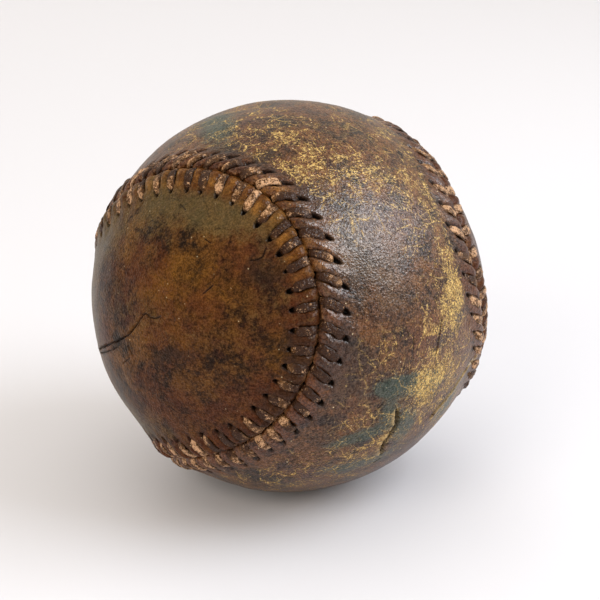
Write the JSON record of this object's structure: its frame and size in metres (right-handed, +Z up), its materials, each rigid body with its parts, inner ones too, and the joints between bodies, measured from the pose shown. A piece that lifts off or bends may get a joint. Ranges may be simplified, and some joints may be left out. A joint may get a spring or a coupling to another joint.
{
  "type": "medicine ball",
  "caption": "Old round leather exercise ball: figure-eight cover panels laced along one curved seam over a canvas lining and a packed filling, settled on a small flat patch.",
  "frame": {"origin": "centre of the flat patch the ball rests on, on the floor", "axes": "+Z up through the ball's centre; +X to the right and +Y away from a viewer who faces the ball with the dark lobe of panel a on the left"},
  "size_m": [0.256, 0.2591, 0.2507],
  "materials": {
    "cover_panel_a": "smooth dark orange-brown cowhide, amber mottling, cracked and scuffed",
    "cover_panel_b": "worn grey-brown cowhide with golden rubbed grain, fine scratches and faded green-blue stains",
    "seam_lace": "rough tan rawhide thong, fibrous and frayed",
    "lining": "unbleached plain-weave canvas",
    "lining_thread": "waxed linen thread",
    "packing": "matted curled hair",
    "core_bundle": "wadded cotton rags",
    "core_twine": "jute twine"
  },
  "bodies": {
    "root": {"cover_panel_a": "cover_panel_a", "cover_panel_b": "cover_panel_b", "seam_lace_1": "seam_lace", "seam_lace_2": "seam_lace", "seam_lace_3": "seam_lace", "seam_lace_4": "seam_lace", "lining_panel_a": "lining", "lining_panel_b": "lining", "lining_thread": "lining_thread", "packing_upper": "packing", "packing_lower": "packing", "core_bundle": "core_bundle", "core_twine": "core_twine"}
  },
  "joints": []
}
